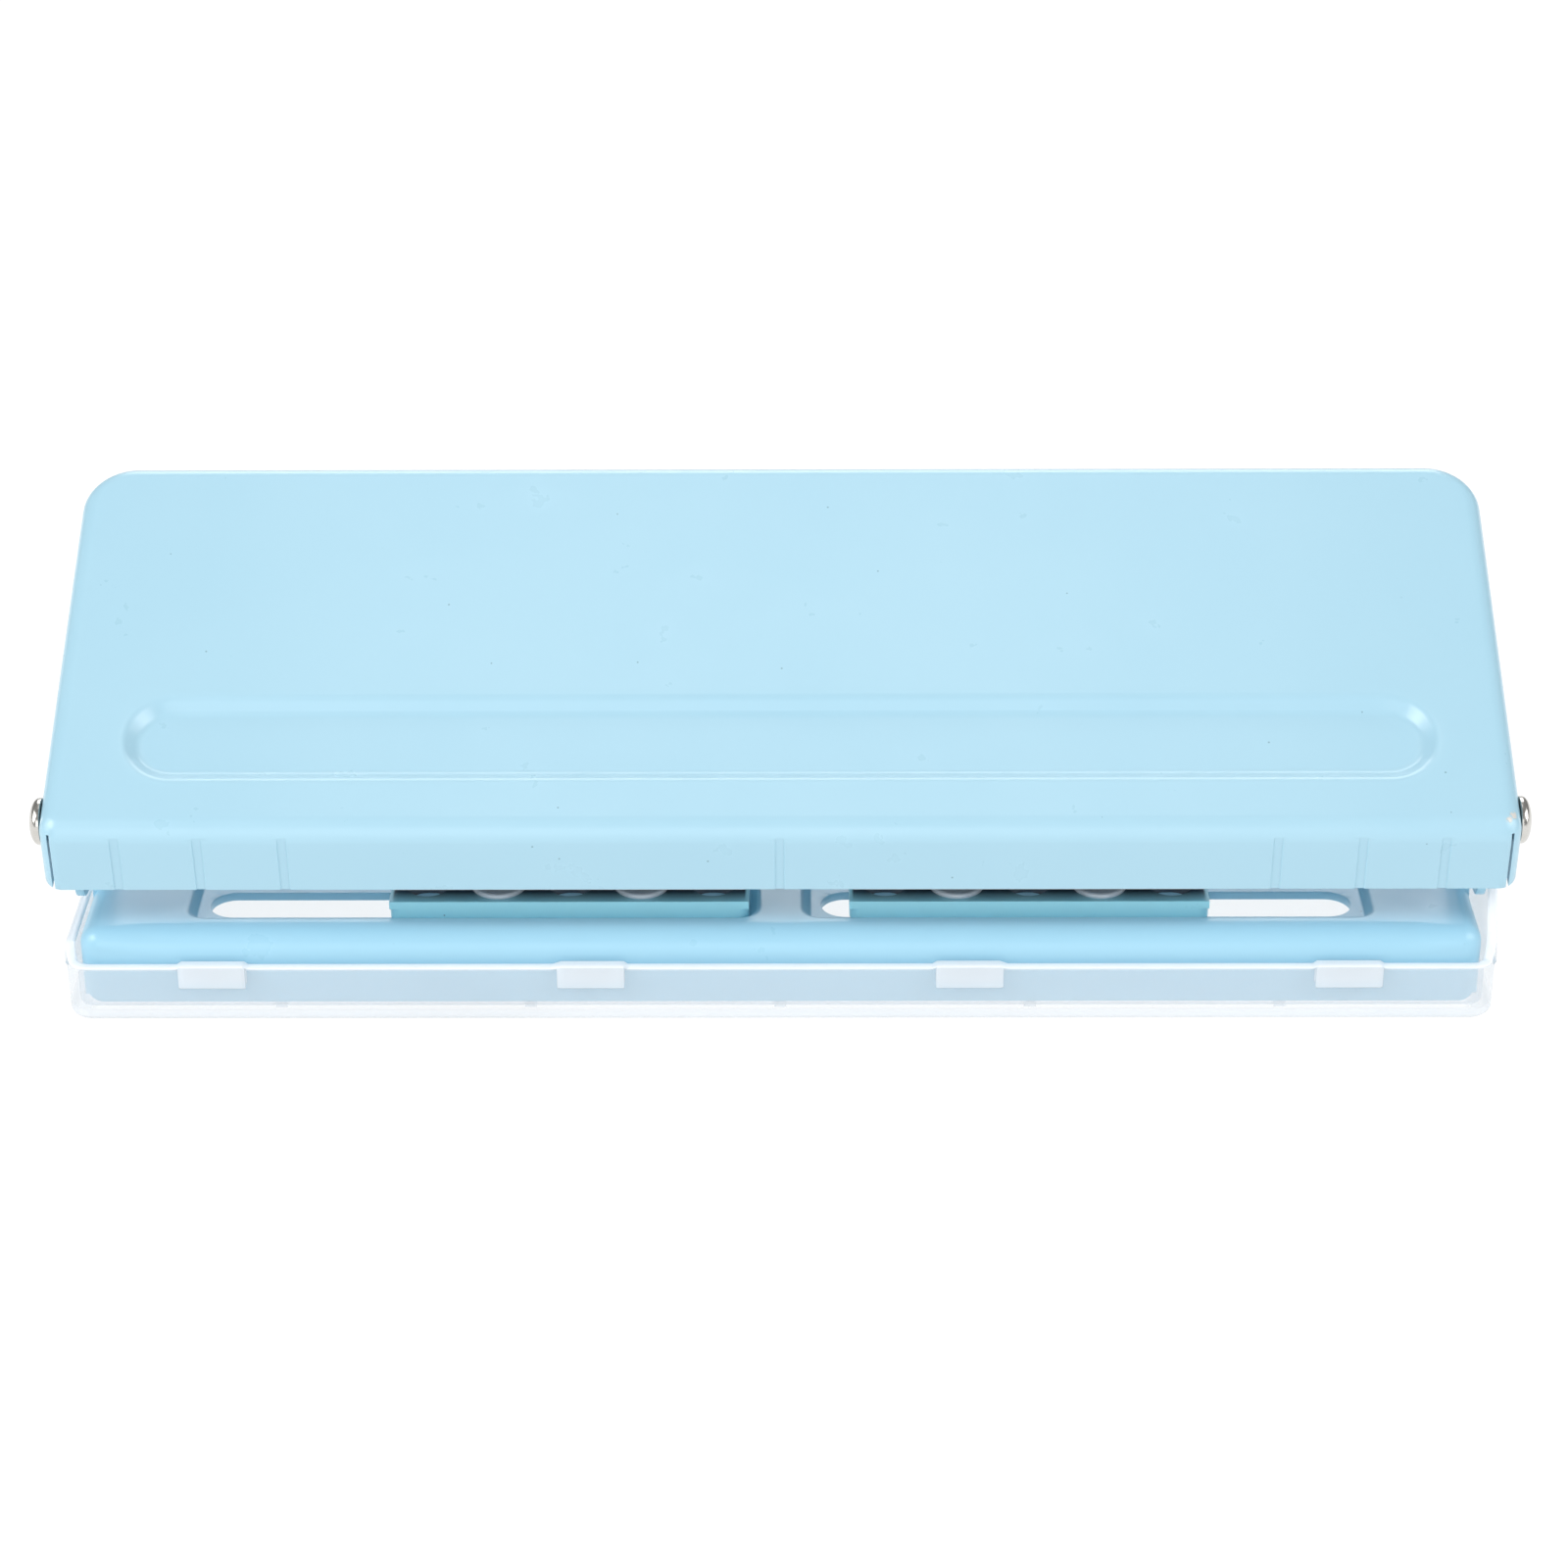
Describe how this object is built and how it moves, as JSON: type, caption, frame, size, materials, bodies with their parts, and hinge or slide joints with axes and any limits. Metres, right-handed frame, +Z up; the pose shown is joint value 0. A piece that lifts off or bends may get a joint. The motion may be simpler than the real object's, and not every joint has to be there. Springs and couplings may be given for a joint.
{
  "type": "adjustable organiser hole punch",
  "caption": "Low steel desktop punch: a tilted lever plate hinged over the paper edge, sliding punch units in a recessed base, and a clear clip-on chip tray.",
  "frame": {"origin": "centre of the chip tray's underside, on the surface the punch stands on", "axes": "+X along the long side, +Y away from the paper edge towards the lever's free edge, +Z up"},
  "size_m": [0.1954, 0.07, 0.0554],
  "materials": {
    "blue_enamel": "gloss light-blue stove enamel on pressed steel",
    "frosted_plastic": "translucent frosted polypropylene, satin",
    "nickel": "nickel-plated steel",
    "zinc_steel": "bright zinc-plated sheet",
    "tool_steel": "ground hardened steel",
    "spring_steel": "oiled spring steel",
    "bush_plastic": "natural acetal"
  },
  "bodies": {
    "base": {"base_plate": "blue_enamel", "left_pivot_rivet": "nickel", "right_pivot_rivet": "nickel", "left_pivot_spacer": "bush_plastic", "right_pivot_spacer": "bush_plastic"},
    "tray": {"chip_tray": "frosted_plastic"},
    "handle": {"handle_plate": "blue_enamel"},
    "left_unit": {"left_punch_frame": "blue_enamel", "left_lower_guide": "zinc_steel", "left_slide_plate": "blue_enamel", "left_keeper_plate": "zinc_steel", "left_guide_rivets": "nickel", "left_return_spring_1": "spring_steel", "left_return_spring_2": "spring_steel", "left_return_spring_3": "spring_steel"},
    "left_pin_1": {"left_punch_pin_1": "tool_steel", "left_pin_clip_1": "spring_steel"},
    "left_pin_2": {"left_punch_pin_2": "tool_steel", "left_pin_clip_2": "spring_steel"},
    "left_pin_3": {"left_punch_pin_3": "tool_steel", "left_pin_clip_3": "spring_steel"},
    "right_unit": {"right_punch_frame": "blue_enamel", "right_lower_guide": "zinc_steel", "right_slide_plate": "blue_enamel", "right_keeper_plate": "zinc_steel", "right_guide_rivets": "nickel", "right_return_spring_1": "spring_steel", "right_return_spring_2": "spring_steel", "right_return_spring_3": "spring_steel"},
    "right_pin_1": {"right_punch_pin_1": "tool_steel", "right_pin_clip_1": "spring_steel"},
    "right_pin_2": {"right_punch_pin_2": "tool_steel", "right_pin_clip_2": "spring_steel"},
    "right_pin_3": {"right_punch_pin_3": "tool_steel", "right_pin_clip_3": "spring_steel"}
  },
  "joints": [
    {"name": "handle_press", "type": "hinge", "parent": "base", "child": "handle", "pos_m": [0, -0.02838, 0.02667], "axis": [-1, 0, 0], "range_deg": [0, 31], "stiffness_Nm_per_rad": 0.67, "springref_deg": -22.35},
    {"name": "tray_release", "type": "slide", "parent": "base", "child": "tray", "axis": [0, 0, -1], "range_m": [0, 0.02]},
    {"name": "left_unit_slide", "type": "slide", "parent": "base", "child": "left_unit", "axis": [-1, 0, 0], "range_m": [0, 0.0255]},
    {"name": "left_pin_1_stroke", "type": "slide", "parent": "left_unit", "child": "left_pin_1", "axis": [0, 0, -1], "range_m": [0, 0.0032], "deforming": ["left_return_spring_1"]},
    {"name": "left_pin_2_stroke", "type": "slide", "parent": "left_unit", "child": "left_pin_2", "axis": [0, 0, -1], "range_m": [0, 0.0032], "deforming": ["left_return_spring_2"]},
    {"name": "left_pin_3_stroke", "type": "slide", "parent": "left_unit", "child": "left_pin_3", "axis": [0, 0, -1], "range_m": [0, 0.0032], "deforming": ["left_return_spring_3"]},
    {"name": "right_unit_slide", "type": "slide", "parent": "base", "child": "right_unit", "axis": [1, 0, 0], "range_m": [-0.0049, 0.0205]},
    {"name": "right_pin_1_stroke", "type": "slide", "parent": "right_unit", "child": "right_pin_1", "axis": [0, 0, -1], "range_m": [0, 0.0032], "deforming": ["right_return_spring_1"]},
    {"name": "right_pin_2_stroke", "type": "slide", "parent": "right_unit", "child": "right_pin_2", "axis": [0, 0, -1], "range_m": [0, 0.0032], "deforming": ["right_return_spring_2"]},
    {"name": "right_pin_3_stroke", "type": "slide", "parent": "right_unit", "child": "right_pin_3", "axis": [0, 0, -1], "range_m": [0, 0.0032], "deforming": ["right_return_spring_3"]}
  ],
  "couplings": [
    {"joint": "left_pin_1_stroke", "follows": "handle_press", "m_per_rad": 0.0058},
    {"joint": "left_pin_2_stroke", "follows": "handle_press", "m_per_rad": 0.0058},
    {"joint": "left_pin_3_stroke", "follows": "handle_press", "m_per_rad": 0.0058},
    {"joint": "right_pin_1_stroke", "follows": "handle_press", "m_per_rad": 0.0058},
    {"joint": "right_pin_2_stroke", "follows": "handle_press", "m_per_rad": 0.0058},
    {"joint": "right_pin_3_stroke", "follows": "handle_press", "m_per_rad": 0.0058}
  ]
}
